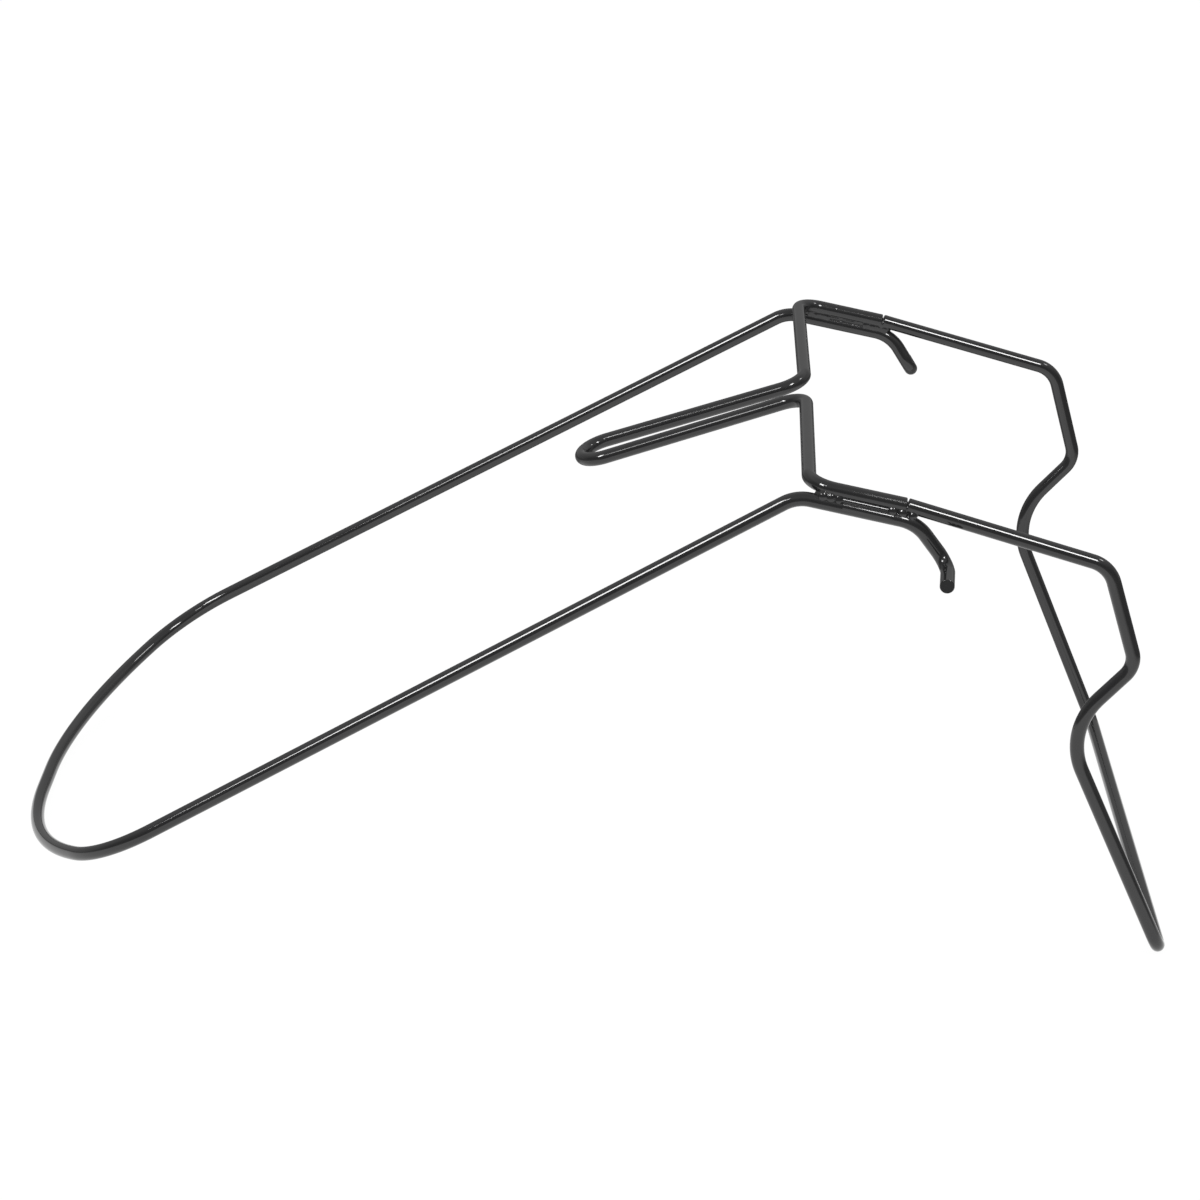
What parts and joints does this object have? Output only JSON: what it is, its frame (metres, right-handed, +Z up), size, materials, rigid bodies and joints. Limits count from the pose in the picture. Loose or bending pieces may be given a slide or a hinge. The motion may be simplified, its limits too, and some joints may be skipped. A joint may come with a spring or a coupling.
{
  "type": "grass bag frame",
  "caption": "Bent steel rod frame that holds a walk-behind mower's grass bag: slanted loop, carry handle, mouth hoop and side hooks, welded and painted gloss black.",
  "frame": {"origin": "middle of the box around the frame, on the floor that its loop end and its bottom bar stand on", "axes": "+X forward, from the rounded end of the loop to the mouth; +Y to the frame's left; +Z up"},
  "size_m": [0.7034, 0.4062, 0.2968],
  "materials": {
    "gloss_black_paint": "gloss"
  },
  "bodies": {
    "root": {"loop_rod": "gloss_black_paint", "handle_rod": "gloss_black_paint", "mouth_rod": "gloss_black_paint", "weld_bead_left_inner_front": "gloss_black_paint", "weld_bead_left_inner_rear": "gloss_black_paint", "weld_bead_left_outer_front": "gloss_black_paint", "weld_bead_left_outer_rear": "gloss_black_paint", "weld_bead_right_inner_front": "gloss_black_paint", "weld_bead_right_inner_rear": "gloss_black_paint", "weld_bead_right_outer_front": "gloss_black_paint", "weld_bead_right_outer_rear": "gloss_black_paint"}
  },
  "joints": []
}
